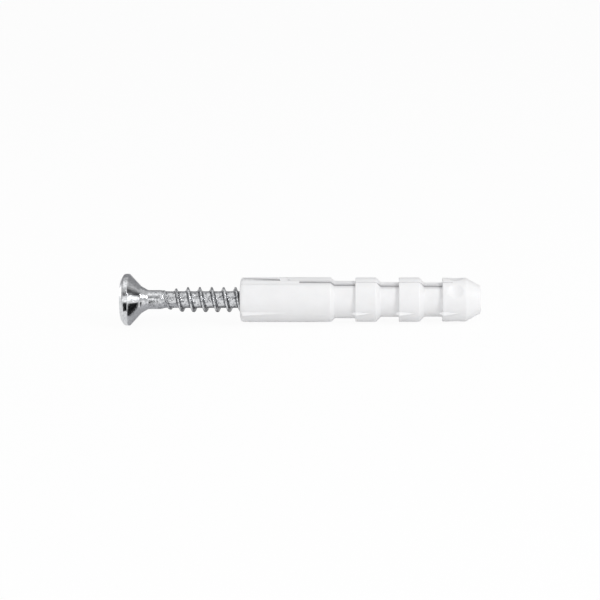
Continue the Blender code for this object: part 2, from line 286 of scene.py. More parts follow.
def rounded_outline(corners: list[Corner], arc_steps: int, closed: bool) -> Array:
    """Carry an outline through its corners, each softened.

    A corner becomes the curve (1 - t)^2 a + 2 t (1 - t) b + t^2 c, where b is the corner and a and c
    lie on its two sides at a distance of rounding times the tangent of half the turn, and the straight
    stretches between are divided evenly, no longer than their step.

    Args:
        corners: The corners in order.
        arc_steps: How many stretches a softened corner has.
        closed: Whether the last corner leads back to the first.

    Returns:
        Rows of x, radius, slot floor and half slot width.
    """
    values = np.stack([corner.values() for corner in corners])
    count = len(corners)
    share = np.linspace(0.0, 1.0, arc_steps + 1)[:, None]
    pieces = []
    for index, corner in enumerate(corners):
        before, here, after = values[index - 1], values[index], values[(index + 1) % count]
        open_end = not closed and index in (0, count - 1)
        if corner.rounding == 0.0 or open_end:
            pieces.append(here[None, :])
            continue
        back, ahead = before - here, after - here
        back_length, ahead_length = np.linalg.norm(back[:2]), np.linalg.norm(ahead[:2])
        cosine = np.dot(back[:2], ahead[:2]) / (back_length * ahead_length)
        reach = corner.rounding * math.tan((math.pi - math.acos(np.clip(cosine, -1.0, 1.0))) / 2)
        start = here + back * min(reach / back_length, 0.48)
        end = here + ahead * min(reach / ahead_length, 0.48)
        pieces.append((1 - share) ** 2 * start + 2 * share * (1 - share) * here + share ** 2 * end)
    rows = []
    for index, piece in enumerate(pieces):
        rows.append(piece)
        if index == count - 1 and not closed:
            break
        start, end = piece[-1], pieces[(index + 1) % count][0]
        parts = max(1, math.ceil(np.linalg.norm((end - start)[:2]) / corners[index].step))
        rows.append(start + (end - start) * np.linspace(0.0, 1.0, parts + 1)[1:-1, None])
    return np.concatenate(rows)


def finish_piece(obj: Object, material: Material, body: str, node: str) -> None:
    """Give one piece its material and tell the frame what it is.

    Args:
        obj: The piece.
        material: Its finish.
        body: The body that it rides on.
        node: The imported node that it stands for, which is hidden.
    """
    obj.data.materials.append(material)
    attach(obj, body)
    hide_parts(node)
    LOG.info("%s: %d faces, rides on %s, stands for %s", obj.name, len(obj.data.polygons), body, node)


@dataclass
class WoodScrew:
    """The screw: a cold-headed countersunk head with a cross recess, and a rolled thread.

    Sizes are in millimetres from the head's flat, which stands out from the plug's mouth.
    """

    pose: LyingPose
    standoff: float = 20.1
    length: float = 40.0
    head_radius: float = 4.35
    bevel_length: float = 0.5
    bevel_depth: float = 0.76
    head_land: float = 0.88
    cone_half_deg: float = 47.0
    neck_radius: float = 2.28
    neck_length: float = 1.18
    shank_radius: float = 1.6
    shank_length: float = 7.0
    core_radius: float = 1.4
    core_shoulder: float = 0.5
    point_length: float = 5.0
    point_radius: float = 0.12
    thread_radius: float = 2.0
    pitch: float = 2.0
    flank_deg: float = 25.0
    crest_half: float = 0.14
    root_rise: float = 0.12
    run_in_turns: float = 2.0
    run_out: float = 0.6
    thread_lead: float = 0.25
    tip_gap: float = 0.05
    thread_start_deg: float = 225.0
    recess_reach: float = 2.3
    recess_depth: float = 2.6
    recess_floor: float = 2.1
    recess_floor_share: float = 0.42
    recess_bow: float = 1.03
    wing_half: float = 0.43
    root: float = 0.625
    columns_per_wing: int = 24
    thread_step: float = 0.05
    thread_fillet: float = 0.16
    # Painted shade on the thread's flanks: where it rises and where it fades beside a crest, and its
    # greatest share
    flank_near: Pair = (0.12, 0.2)
    flank_far: Pair = (0.5, 0.34)
    flank_shade: float = 0.75

    def angles(self) -> Array:
        """Return the even angles of the rings, in radians: the first lies between two wings."""
        return np.arange(4 * self.columns_per_wing) * math.pi / (2 * self.columns_per_wing)

    def recess_outline(self, scale: float, reach_scale: float) -> Array:
        """Draw the cross recess at one depth.

        Each wing runs from one root corner along its side, across its slightly bowed end and back to
        the other root corner, its points spaced evenly on each stretch.

        Args:
            scale: The size of the wing's width and of the root, as a share of those at the mouth.
            reach_scale: The wing's reach as a share of that at the mouth.

        Returns:
            Points across the axis, shape (columns, 2), as distance towards the camera and up.
        """
        half, root, reach = self.wing_half * scale, self.root * scale, self.recess_reach * reach_scale
        side = self.columns_per_wing * 3 // 8
        knots = [0, side, self.columns_per_wing // 2, self.columns_per_wing - side, self.columns_per_wing]
        steps = np.arange(self.columns_per_wing)
        along = np.interp(steps, knots, [root, reach, reach * self.recess_bow, reach, root])
        across = np.interp(steps, knots, [-root, -half, 0.0, half, root])
        turns = math.pi / 4 + np.arange(4)[:, None] * math.pi / 2
        towards = along * np.sin(turns) + across * np.cos(turns)
        up = along * np.cos(turns) - across * np.sin(turns)
        return np.stack([towards.ravel(), up.ravel()], axis=-1)

    def ring(self, outline: Array, depth: float) -> Array:
        """Set an outline across the axis at a distance from the head's flat."""
        return np.stack([np.full(len(outline), depth), -outline[:, 0], outline[:, 1]], axis=-1)

    def recess_rings(self) -> list[Array]:
        """Build the recess from its lowest ring to its edge on the head's flat.

        Returns:
            Rings of points: the pointed floor, the walls, which lean out towards the mouth, and a
            small soft edge.
        """
        inner = self.recess_floor_share
        below = self.recess_depth - self.recess_floor
        rows = [(self.recess_depth - below * share, 1.2 * inner * share, inner * share)
                for share in (0.12, 0.35, 0.65, 0.94)]
        rows += [(self.recess_floor * (1 - share), 0.62 + 0.35 * share, inner + (0.97 - inner) * share)
                 for share in (0.0, 0.04, 0.15, 0.3, 0.45, 0.6, 0.75, 0.88, 0.95)]
        rows += [(0.04, 0.985, 0.985), (0.0, 1.0, 1.0)]
        return [self.ring(self.recess_outline(width, reach), depth) for depth, width, reach in rows]

    def face_rings(self, edge_radius: float) -> list[Array]:
        """Fill the head's flat from the recess to its edge.

        Args:
            edge_radius: The radius at which the last ring would meet the edge.

        Returns:
            Rings that blend from the recess's outline to a circle, as (1 - t) outline + t circle.
        """
        inner = self.recess_outline(1.0, 1.0)
        turns = self.angles()
        circle = edge_radius * np.stack([np.sin(turns), np.cos(turns)], axis=-1)
        return [self.ring((1 - share) * inner + share * circle, 0.0)
                for share in (0.06, 0.2, 0.4, 0.6, 0.8, 0.95)]

    def body_outline(self) -> Array:
        """Carry the turned outline from the head's flat to the start of the thread.

        Returns:
            Rows of x and radius.
        """
        face_radius = self.head_radius - self.bevel_depth
        land_end = self.bevel_length + self.head_land
        cone_length = (self.head_radius - self.neck_radius) / math.tan(math.radians(self.cone_half_deg))
        neck_x = land_end + cone_length
        corners = [
            Corner(0.0, face_radius - 0.4),
            Corner(0.0, face_radius, 0.3, 0.2),
            Corner(self.bevel_length, self.head_radius, 0.6, 0.25),
            Corner(land_end, self.head_radius, 0.15, 0.25),
            Corner(neck_x, self.neck_radius, 0.2, 0.1),
            Corner(neck_x + self.neck_length, self.shank_radius, 1.0, 0.15),
            Corner(self.thread_start() - 0.3, self.shank_radius, 0.0, 0.06),
        ]
        return rounded_outline(corners, 6, closed=False)[:, :2]

    def thread_start(self) -> float:
        """Return where the ridge starts."""
        return self.shank_length - self.core_shoulder

    def core_at(self, x: Array) -> Array:
        """Work out the radius below the thread: the shank's, a soft step down, the core's, a cone.

        Args:
            x: Distances from the head's flat.

        Returns:
            The core's radius at each.
        """
        half = self.core_shoulder
        step = smooth_step(self.shank_length - half, self.shank_length + half, x)
        radius = self.shank_radius + (self.core_radius - self.shank_radius) * step
        left = np.clip((self.length - x) / self.point_length, 0.0, 1.0)
        return self.point_radius + (radius - self.point_radius) * left

    def thread_surface(self) -> tuple[Array, Array]:
        """Build the threaded part.

        The radius over a point at x and an angle is the larger, with a fillet, of the core and of a
        ridge whose flanks fall at the flank angle from a narrow crest. The crest lies where
        x = start + pitch (angle - start angle) / (2 pi) + any whole number of pitches. The rolled root
        is hollow: it rises towards the crest with the square of the way from the middle of the root.

        Returns:
            Points, shape (rings, columns, 3), and the painted shade on the flanks beside each crest, shape
            (rings, columns).
        """
        begin = self.thread_start()
        first, last = begin - self.thread_lead, self.length - self.tip_gap
        x = np.linspace(first, last, int(round((last - first) / self.thread_step)))[:, None]
        turns = self.angles()[None, :]
        lead = (turns - math.radians(self.thread_start_deg)) / (2 * math.pi)
        turn = (x - begin) / self.pitch - lead
        off_crest = np.abs(turn - np.round(turn)) * self.pitch
        run_in = (x - begin) / (self.run_in_turns * self.pitch)
        run_out = (self.length - self.run_out - x) / self.point_length
        grown = np.clip(np.minimum(run_in, run_out), 0.0, 1.0)
        height = (self.thread_radius - self.core_radius) * grown
        core = self.core_at(x) + self.root_rise * (1.0 - 2.0 * off_crest / self.pitch) ** 2 * grown
        slope = 1.0 / math.tan(math.radians(self.flank_deg))
        flank = core + height - np.maximum(off_crest - self.crest_half, 0.0) * slope
        fillet = self.thread_fillet * np.clip(height, 0.02, None)
        share = np.clip(0.5 + 0.5 * (flank - core) / fillet, 0.0, 1.0)
        raised = fillet * share * (1.0 - share) * np.clip(height * 4, 0.0, 1.0)
        radius = np.maximum(flank * share + core * (1.0 - share) + raised, core)
        # Painted shade: a dark band on each flank beside a crest, weaker where the thread is still growing
        # in
        shade = smooth_step(*self.flank_near, off_crest) * smooth_step(*self.flank_far, off_crest)
        return around(x, radius, turns), self.flank_shade * shade * np.clip(grown * 1.5, 0.0, 1.0)

    def build(self) -> Object:
        """Build the screw as one closed surface from the recess's floor to its point.

        Returns:
            The screw's one piece.
        """
        outline = self.body_outline()
        rings = self.recess_rings() + self.face_rings(float(outline[0, 1]))
        body = around(outline[:, :1], outline[:, 1:], self.angles()[None, :])
        thread, flanks = self.thread_surface()
        grid = np.concatenate([np.stack(rings), body, thread])
        # Painted shade: none on the head and shank, and the flank shade on the thread
        gap = np.concatenate([np.zeros((len(grid) - len(flanks), flanks.shape[1])), flanks])
        shift = np.array([-self.standoff, 0.0, 0.0])
        poles = tuple(np.array([x, 0.0, 0.0]) + shift for x in (self.recess_depth, self.length))
        surface = Surface()
        surface.add(grid + shift, poles, gap)
        return surface.mesh_object("screw_body", self.pose, sharp_deg=38.0)

    def dress(self, plate: Material) -> None:
        """Build the screw and finish it with its plating."""
        finish_piece(self.build(), plate, "screw", "screw")


@dataclass
class WallPlug:
    """The plug: one moulding with a sleeve, three necks, two blocks, a tip block and a nose.

    Sizes are in millimetres from the mouth.
    """

    pose: LyingPose
    sleeve_length: float = 15.1
    sleeve_radius: float = 3.75
    sleeve_end_radius: float = 3.715
    sleeve_chamfer: float = 0.64
    mouth_round: float = 0.7
    neck_lengths: tuple[float, float, float] = (3.47, 3.0, 3.0)
    neck_radii: tuple[float, float, float] = (3.11, 2.885, 2.85)
    block_length: float = 3.42
    block_radius: float = 3.7
    block_taper: float = 0.81
    tip_length: float = 3.9
    tip_radius: float = 3.65
    nose_length: float = 2.43
    nose_radius: float = 2.3
    bore: float = 2.45
    bore_end: float = 15.3
    bore_mouth: float = 0.25
    funnel_end: float = 21.8
    pilot: float = 1.25
    slot_start: float = 9.9
    slot_half: float = 0.26
    slot_half_in_blocks: float = 0.075
    slot_depth_in_blocks: float = 0.16
    slot_after_shoulder: float = 1.6
    slot_web: float = 0.1
    slot_floor_rise: float = 0.03
    slot_lean_deg: float = 24.0
    lock_from_slot_deg: float = -12.5
    crease_from_slot_deg: Pair = (-10.8, -8.9)
    crease_half_width: Pair = (0.13, 0.17)
    crease_depth: float = 0.34
    lock_length: float = 6.65
    lock_height: float = 0.46
    lock_end_height: float = 0.36
    lock_half_width: float = 0.45
    pocket_length: float = 1.6
    pocket_half_width: float = 0.55
    pocket_depth: float = 0.5
    pocket_edge: float = 0.13
    side_length: float = 7.5
    side_height: float = 0.6
    fin_half_width: float = 0.33
    fin_crest: float = 0.03
    fin_fillet: float = 0.14
    dimple_after_shoulder: float = 2.17
    dimple_radius: float = 1.3
    dimple_depth: float = 0.36
    dimple_edge: float = 0.16
    dimple_lean_deg: float = 28.0
    barb_height: float = 0.62
    barb_overhang: float = 0.6
    barb_run: float = 2.8
    barb_half_width: float = 0.34
    barb_edge: float = 0.15
    gate_from_axis: float = 1.8
    gate_deg: float = 150.0
    gate_radius: float = 0.34
    gate_height: float = 0.16
    gate_sink: float = 0.05

    def shoulders(self) -> tuple[float, float, float]:
        """Work out where the two blocks and the tip block start.

        Returns:
            Their three places along the axis.
        """
        first = self.sleeve_length + self.sleeve_chamfer + self.neck_lengths[0]
        second = first + self.block_length + self.block_taper + self.neck_lengths[1]
        return first, second, second + self.block_length + self.block_taper + self.neck_lengths[2]

    def inside_at(self, x: float) -> float:
        """Return the bore's radius at a place, through the funnel between its wide and narrow part."""
        return float(np.interp(x, [self.bore_end, self.funnel_end], [self.bore, self.pilot]))

    def outline(self) -> tuple[Array, int]:
        """Carry the outline along the outside and back through the bore.

        Returns:
            The closed outline's rows, and how many of them are on the outside.
        """
        def slotted(x: float, radius: float, rounding: float, step: float) -> Corner:
            """Return a corner with the wide slot, cut down to a narrow web over the bore."""
            return Corner(x, radius, rounding, step, self.inside_at(x) + self.slot_web, self.slot_half)

        def scored(x: float, radius: float, rounding: float, step: float) -> Corner:
            """Return a corner with the nearly shut slot of a block, a fine line in the skin."""
            floor = radius - self.slot_depth_in_blocks
            return Corner(x, radius, rounding, step, floor, self.slot_half_in_blocks)

        def whole(x: float, radius: float, rounding: float, step: float) -> Corner:
            """Return a corner where the skin has no slot."""
            return Corner(x, radius, rounding, step, None, self.slot_half)

        sleeve, sleeve_end = self.sleeve_radius, self.sleeve_length + self.sleeve_chamfer
        block, tip = self.block_radius, self.tip_radius
        first, second, third = self.shoulders()
        neck_1, neck_2, neck_3 = self.neck_radii
        slot_end, tip_end = third + self.slot_after_shoulder, third + self.tip_length
        nose = tip_end + self.nose_length
        outside = [
            whole(0.0, self.bore + self.bore_mouth, 0.06, 0.3),
            whole(0.0, sleeve, self.mouth_round, 0.22),
            whole(self.lock_length - 0.3, sleeve, 0.0, 0.06),
            whole(self.lock_length + self.pocket_length + 0.2, sleeve, 0.0, 0.3),
            whole(self.slot_start - 0.1, sleeve, 0.0, 0.05),
            whole(self.slot_start, sleeve, 0.0, 0.05),
            slotted(self.slot_start + 0.06, sleeve, 0.0, 0.4),
            slotted(self.sleeve_length, self.sleeve_end_radius, 0.3, 0.1),
            slotted(sleeve_end, neck_1, 0.25, 0.35),
        ]
        for start, before, after in ((first, neck_1, neck_2), (second, neck_2, neck_3)):
            end = start + self.block_length
            outside += [
                slotted(start, before, 0.12, 0.12),
                scored(start, block, 0.14, 0.3),
                scored(end, block, 0.3, 0.12),
                slotted(end + self.block_taper, after, 0.25, 0.35),
            ]
        outside += [
            slotted(third, neck_3, 0.12, 0.12),
            scored(third, tip, 0.14, 0.09),
            scored(slot_end, tip, 0.0, 0.09),
            Corner(slot_end + 0.1, tip, 0.0, 0.09),
            Corner(tip_end, tip, 0.3, 0.12),
            Corner(nose, self.nose_radius, 0.14, 0.2),
        ]
        inside = [
            Corner(nose, self.pilot, 0.1, 1.2),
            Corner(self.funnel_end, self.pilot, 0.0, 0.8),
            Corner(self.bore_end, self.bore, 0.0, 1.2),
            Corner(self.bore_mouth, self.bore, 0.0, 0.1),
        ]
        rows = rounded_outline(outside + inside, 5, closed=True)
        return rows, int(np.argmax(rows[:, 0]) + 1)

    def columns(self) -> tuple[Array, Array, Array]:
        """Spread the columns round the plug, close together at the slots, fins and dimples.

        Returns:
            For each column its angle from a slot in degrees, its place across the slot in half slot
            widths where it belongs to the slot, and how far it sinks to the slot's floor, 0 to 1.
        """
        across = np.array([-2.2, -1.4, -1.12, -1.0, -0.92, -0.4, 0.4, 0.92, 1.0, 1.12, 1.4, 2.2])
        sunk = (np.abs(across) < 0.95).astype(float)
        sparse = np.arange(49.5, 80.0, 3.3)
        off_fin = np.array([0.5, 1.0, 1.6, 2.3, 3.1, 4.0, 5.0, 6.4, 8.2])
        near = np.concatenate([np.arange(7.4, 48.0, 1.55), sparse])
        at_crease = np.concatenate([np.arange(6.2, 13.0, 0.5), np.arange(13.6, 48.0, 1.4), sparse])
        fin = np.concatenate([90.0 - off_fin[::-1], [90.0], 90.0 + off_fin])
        plain = np.concatenate([near, fin, 180.0 - at_crease[::-1]])
        degrees = np.concatenate([np.zeros(len(across)), plain])
        offsets = np.concatenate([across, np.zeros(len(plain))])
        depth = np.concatenate([sunk, np.zeros(len(plain))])
        return np.concatenate([degrees, degrees + 180.0]), np.tile(offsets, 2), np.tile(depth, 2)

    def ridge(self, sideways: Array, height: Array, half_width: float) -> Array:
        """Raise a fin on the skin.

        Args:
            sideways: Distances along the skin from the fin's middle line.
            height: The crest's height at each place.
            half_width: Half the fin's width at its root.

        Returns:
            Heights that fall evenly from the crest to the skin, with a soft crest and a soft root.
        """
        fall = 1.0 - np.sqrt(sideways ** 2 + self.fin_crest ** 2) / half_width
        return height * soft_max(fall, np.zeros_like(fall), self.fin_fillet)

    def beside(self, angle_deg: float, radius: Array, turn: Array) -> Array:
        """Return the distance along the skin from the nearer line at an angle from a slot."""
        off = turn - math.radians(angle_deg)
        return (off - math.pi * np.round(off / math.pi)) * radius

    def up_to_lock_end(self, x: Array) -> Array:
        """Return 1 up to the end of the lock fins and 0 past it, with a narrow soft edge."""
        return smooth_step(self.lock_length + 0.07, self.lock_length - 0.02, x)

    def crease(self, x: Array, radius: Array, turn: Array) -> Array:
        """Work out the narrow gap beside each lock fin, which leans off the fin and widens to its end.

        Args:
            x: Places along the axis, one row each.
            radius: The turned radius of each row.
            turn: Angles from a slot in radians.

        Returns:
            Up to 1 in the gap, which deepens towards its end, and 0 beside it, with soft edges. The same
            share also sets how much painted shade the crease gets.
        """
        along = np.clip(x / self.lock_length, 0.0, 1.0)
        middle = np.radians(self.crease_from_slot_deg[0] + np.diff(self.crease_from_slot_deg) * along)
        half = self.crease_half_width[0] + np.diff(self.crease_half_width) * along
        off = self.beside(0.0, radius, turn - middle)
        ends = smooth_step(0.3, 0.6, x) * self.up_to_lock_end(x)
        return smooth_step(1.0, 0.4, np.abs(off) / half) * ends * (0.65 + 0.35 * along)

    def skin(self, x: Array, radius: Array, turn: Array) -> Array:
        """Work out how far the fins, pockets, creases and dimples move the skin.

        The fins' crests fall in a straight line from the mouth, the pockets are round-ended and cut
        straight down, and a dimple is a bowl of depth (1 - d^2 / r^2), d being the distance from its
        middle and r its radius.

        Args:
            x: Places along the axis, one row each.
            radius: The turned radius of each row.
            turn: Angles from a slot in radians.

        Returns:
            The way outwards at each place, below 0 for a hollow.
        """
        from_mouth = smooth_step(0.05, 0.5, x)
        before_end = self.up_to_lock_end(x)
        lock = self.beside(self.lock_from_slot_deg, radius, turn)
        fall = self.lock_height + (self.lock_end_height - self.lock_height) * x / self.lock_length
        change = self.ridge(lock, fall * from_mouth * before_end, self.lock_half_width)
        change = change - self.crease_depth * self.crease(x, radius, turn)
        fall = self.side_height * np.clip(1.0 - x / self.side_length, 0.0, 1.0)
        side = self.beside(90.0, radius, turn)
        change = change + self.ridge(side, fall * from_mouth, self.fin_half_width)
        round_x = self.lock_length + self.pocket_length - self.pocket_half_width
        off = np.sqrt(np.maximum(x - round_x, 0.0) ** 2 + lock ** 2)
        pocket = smooth_step(self.pocket_half_width, self.pocket_half_width - self.pocket_edge, off)
        change = change - self.pocket_depth * pocket * (1.0 - before_end)
        dimple_x = self.shoulders()[2] + self.dimple_after_shoulder
        for lean in (self.dimple_lean_deg, -self.dimple_lean_deg):
            off = ((x - dimple_x) ** 2 + self.beside(lean, radius, turn) ** 2) / self.dimple_radius ** 2
            change = change - self.dimple_depth * soft_max(1.0 - off, np.zeros_like(off), self.dimple_edge)
        return change

    def shell(self) -> tuple[Array, Array]:
        """Build the moulding without its barbs.

        The radius at x and an angle is the turned outline's, plus the fins, less the pockets, the
        dimples and the slot. The slot's columns stay at fixed shares of its width, so that its two
        edges run straight whatever the radius.

        Returns:
            Points of a closed grid, shape (rings, columns, 3), and how much painted shade darkens each
            point's colour, in the slots and the creases.
        """
        rows, outside = self.outline()
        x, radius, floor, half = (rows[:, index, None] for index in range(4))
        degrees, offsets, sunk = self.columns()
        turn = np.radians(degrees)[None, :] + offsets[None, :] * half / radius
        changed = radius + self.skin(x, radius, turn)
        on_skin = (np.arange(len(rows)) < outside)[:, None]
        cut = floor + self.slot_floor_rise * (changed - floor)
        in_slot = sunk[None, :] * (floor < radius) * on_skin
        changed = np.where(on_skin, changed + (cut - changed) * in_slot, radius)
        deep = np.clip(radius - floor, 0.0, 1.0)
        # Painted shade: the slot's sunk columns, the more the deeper the slot, and the creases beside the
        # lock fins are darkened in the colour
        gap = np.maximum(in_slot * deep, np.where(on_skin, self.crease(x, radius, turn), 0.0))
        return around(x, changed, turn + math.radians(self.slot_lean_deg)), gap

    def barb(self, shoulder: float, skin: float, turn: float) -> Capped:
        """Build one pointed fin, its point over the neck before its block.

        Its crest rises from the point to full height over the shoulder and falls away along the block.
        At a share w of its half width to one side, its top stands height (1.07 - sqrt(w^2 + 0.02))
        above the skin, and its flat underside lies sunk in the block.

        Args:
            shoulder: Where the block starts.
            skin: The block's radius.
            turn: The fin's angle in radians.

        Returns:
            The fin's rings, shape (rings, points, 3), and the points that close its two ends.
        """
        start, end = shoulder - self.barb_overhang, shoulder + self.barb_run
        along = np.linspace(0.0, 1.0, 41)[1:-1, None]
        x = start + (end - start) * along ** 1.25
        rise = np.clip((x - start) / (self.barb_overhang + self.barb_edge), 0.0, 1.0)
        fall = np.clip((end - x) / (self.barb_run - self.barb_edge), 0.0, 1.0)
        crest = self.barb_height * np.minimum(rise ** 0.9, fall)
        width = self.barb_half_width * np.minimum(rise ** 0.75, 0.25 + 0.75 * fall)
        sink = 0.1 + 0.25 * smooth_step(shoulder - 0.1, shoulder + 0.3, x)
        root = skin - sink * np.minimum(rise * 1.6, 1.0)
        across = np.linspace(-1.0, 1.0, 13)[None, :]
        top = np.maximum(skin + crest * (1.07 - np.sqrt(across ** 2 + 0.02)), root)
        upper = around(x, top, turn + width * across / skin)
        under = around(x, root, turn + width * across[:, -2:0:-1] / skin)
        point = around(np.array(start - 0.02), np.array(skin), np.array(turn))
        tail = around(np.array(end), np.array(skin - 0.1), np.array(turn))
        return np.concatenate([upper, under], axis=1), (point, tail)

    def gate_mark(self) -> Capped:
        """Build the stub that the mould's gate leaves on the nose.

        Its rings have the radius r cos(q), and stand out by h sin(q), for q from 0 to nearly 90 degrees.

        Returns:
            The stub's rings, shape (rings, points, 3), and the points that close its two ends.
        """
        foot = self.shoulders()[2] + self.tip_length + self.nose_length - self.gate_sink
        height = self.gate_sink + self.gate_height
        middle = around(np.array(0.0), np.array(self.gate_from_axis), np.radians(self.gate_deg))
        rise = np.linspace(0.0, 0.46, 7)[:, None] * math.pi
        turns = np.linspace(0.0, 2 * math.pi, 24, endpoint=False)[None, :]
        grid = around(foot + height * np.sin(rise), self.gate_radius * np.cos(rise), turns) + middle
        return grid, tuple(middle + np.array([x, 0.0, 0.0]) for x in (foot, foot + height))

    def build(self) -> list[Object]:
        """Build the moulding.

        Returns:
            The shell, and the six barbs with the gate mark.
        """
        shell, barbs = Surface(), Surface()
        points, gap = self.shell()
        shell.add(points, gap=gap)
        side = math.radians(self.slot_lean_deg) + math.pi / 2
        radii = (self.block_radius, self.block_radius, self.tip_radius)
        for shoulder, skin in zip(self.shoulders(), radii):
            for turn in (side, side + math.pi):
                barbs.add(*self.barb(shoulder, skin, turn))
        barbs.add(*self.gate_mark())
        return [shell.mesh_object("plug_shell", self.pose, sharp_deg=42.0),
                barbs.mesh_object("plug_barbs", self.pose, sharp_deg=50.0)]

    def dress(self, nylon: Material) -> None:
        """Build the plug's pieces and finish them with its nylon."""
        for piece in self.build():
            finish_piece(piece, nylon, "plug", "wall_plug")


def per_metre(size_mm: float) -> float:
    """Return the scale that gives a pattern patches of a size in millimetres."""
    return 1 / (size_mm * MM)


class NodeTree:
    """Adds nodes to a material or a world and links them."""

    def __init__(self, owner: Material | World) -> None:
        """Start with an empty tree.

        Args:
            owner: The material or world whose nodes these are.
        """
        owner.use_nodes = True
        self.tree = owner.node_tree
        self.tree.nodes.clear()

    def add(self, kind: str, inputs: dict[str | int, object] | None = None,
            output: str | int = 0, **settings: object) -> Socket | None:
        """Add one node with its settings and links.

        Args:
            kind: The node's type, as Blender names it after "ShaderNode".
            inputs: For each input its value, or the output that is linked to it.
            output: The name or number of the output that is wanted.
            settings: The node's properties.

        Returns:
            The wanted output, or None where the node has no outputs.
        """
        node = self.tree.nodes.new(f"ShaderNode{kind}")
        for name, value in settings.items():
            setattr(node, name, value)
        for name, value in (inputs or {}).items():
            if isinstance(value, Socket):
                self.tree.links.new(value, node.inputs[name])
            else:
                node.inputs[name].default_value = value
        return node.outputs[output] if node.outputs else None


@dataclass(frozen=True)
class MouldedNylon:
    """White polyamide 6, injection moulded in a finely eroded steel mould.

    The eye gets a clean cool white with a satin gloss, a very fine even grain, soft edges that light
    enters, and broad faint unevenness where the thick walls have sunk a little on cooling.
    """

    light: str = "#F3F3F4"
    shade: str = "#EBEBEC"
    # Colour of the painted shade in the slots and creases
    painted_shade_colour: str = "#98989A"
    roughness: Pair = (0.36, 0.50)
    cloud_mm: float = 2.6
    grain_mm: float = 0.09
    sink_mm: float = 1.1
    light_reach_mm: float = 0.6

    def material(self) -> Material:
        """Build the material on object coordinates, which are metres.

        Returns:
            The new material.
        """
        material = bpy.data.materials.new("injection_moulded_white_polyamide")
        tree = NodeTree(material)
        place = tree.add("TexCoord", output="Object")
        # Milky clouding of the polymer, about as broad as a wall is thick
        cloud = tree.add("TexNoise", {"Vector": place, "Scale": per_metre(self.cloud_mm), "Detail": 3.0})
        milky = tree.add("Mix", {0: cloud, 6: srgb(self.light), 7: srgb(self.shade)}, 2, data_type='RGBA')
        # The mould's eroded grain is about 0.03 mm; it is drawn three times as coarse, so that it shows
        grain = tree.add("TexNoise", {
            "Vector": place, "Scale": per_metre(self.grain_mm), "Detail": 2.0, "Roughness": 0.6})
        gloss = tree.add("MapRange", {
            "Value": grain, "From Min": 0.3, "From Max": 0.7,
            "To Min": self.roughness[0], "To Max": self.roughness[1]})
        # Sink marks run along the plug, so the broad waves are stretched in that direction
        drawn = tree.add("Mapping", {"Vector": place, "Scale": (0.12, 1.0, 1.0)})
        sinks = tree.add("TexNoise", {"Vector": drawn, "Scale": per_metre(self.sink_mm), "Detail": 1.0})
        waves = tree.add("Bump", {"Height": sinks, "Distance": 0.03 * MM, "Strength": 0.35})
        relief = tree.add("Bump", {
            "Height": grain, "Distance": 0.006 * MM, "Strength": 0.22, "Normal": waves})
        # Painted shade: the slots and the creases are darkened in the colour. The real slots go right
        # through the wall, so next to no light comes back from inside them.
        gap = tree.add("Attribute", output="Fac", attribute_name=PAINTED_SHADE_ATTRIBUTE)
        shaded = tree.add("Mix", {0: gap, 6: milky, 7: srgb(self.painted_shade_colour)}, 2, data_type='RGBA')
        nylon = tree.add("BsdfPrincipled", {
            "Base Color": shaded, "Roughness": gloss, "IOR": 1.53, "Normal": relief,
            "Subsurface Weight": 0.22, "Subsurface Scale": self.light_reach_mm * MM,
            "Subsurface Radius": (1.0, 0.95, 0.9)})
        tree.add("OutputMaterial", {"Surface": nylon})
        return material


